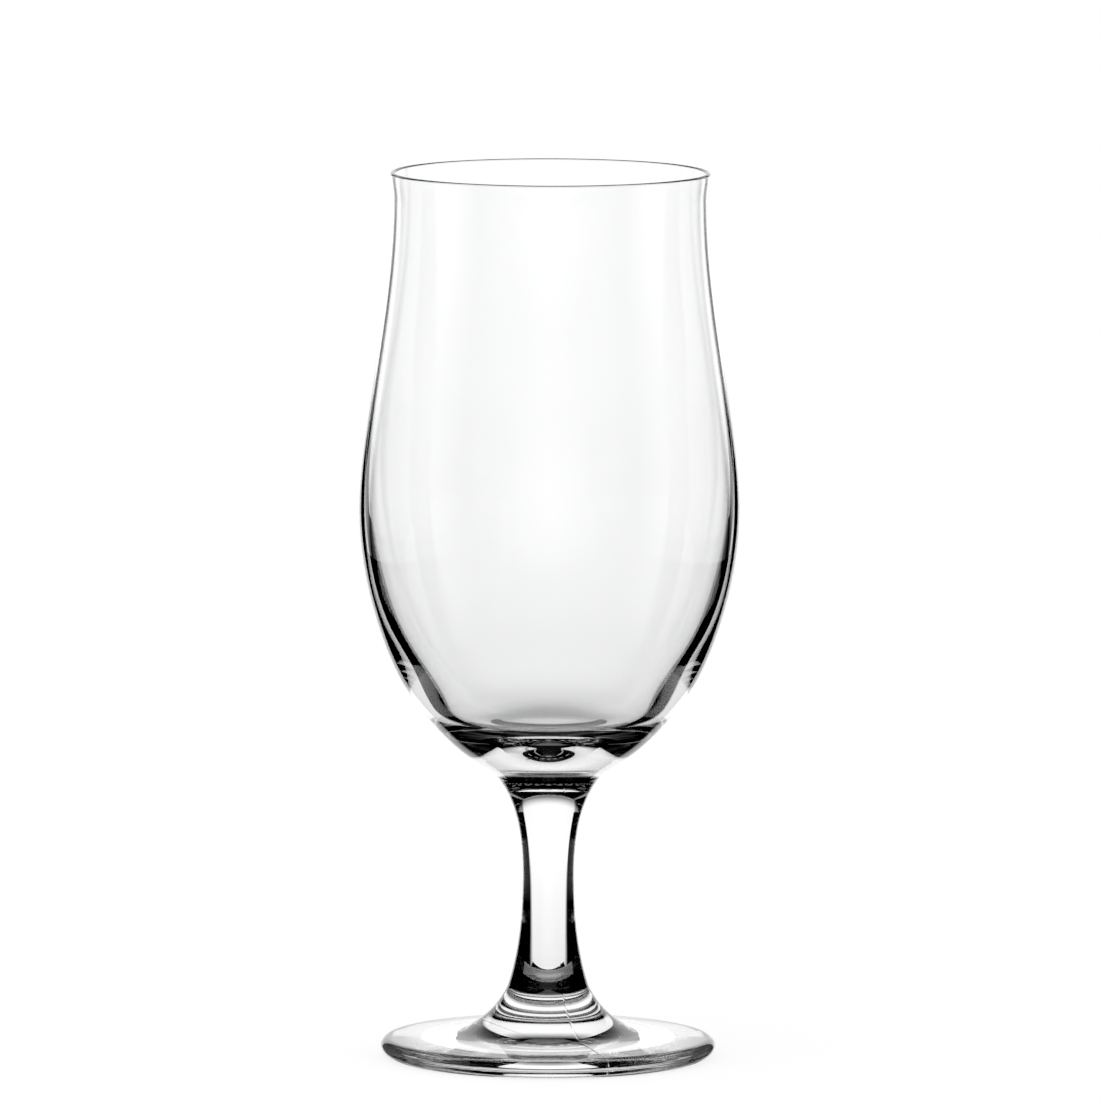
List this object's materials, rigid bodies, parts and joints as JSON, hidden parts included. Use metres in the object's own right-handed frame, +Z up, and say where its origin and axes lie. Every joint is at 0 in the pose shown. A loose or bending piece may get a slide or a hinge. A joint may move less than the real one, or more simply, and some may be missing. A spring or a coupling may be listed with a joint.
{
  "type": "stemmed beer glass",
  "caption": "Clear stemmed beer glass: tulip bowl with a thin drawn-in wall, beaded lip and thick heel, on a short waisted solid stem and a round disc foot.",
  "frame": {"origin": "centre of the foot's resting ring, on the plane that the glass stands on", "axes": "+Z up along the axis of the glass; X and Y are free, because the glass is round"},
  "size_m": [0.088, 0.088, 0.206],
  "materials": {
    "clear_glass": "clear, colourless, fire-polished"
  },
  "bodies": {
    "root": {"bowl": "clear_glass", "stem": "clear_glass", "foot": "clear_glass"}
  },
  "joints": []
}
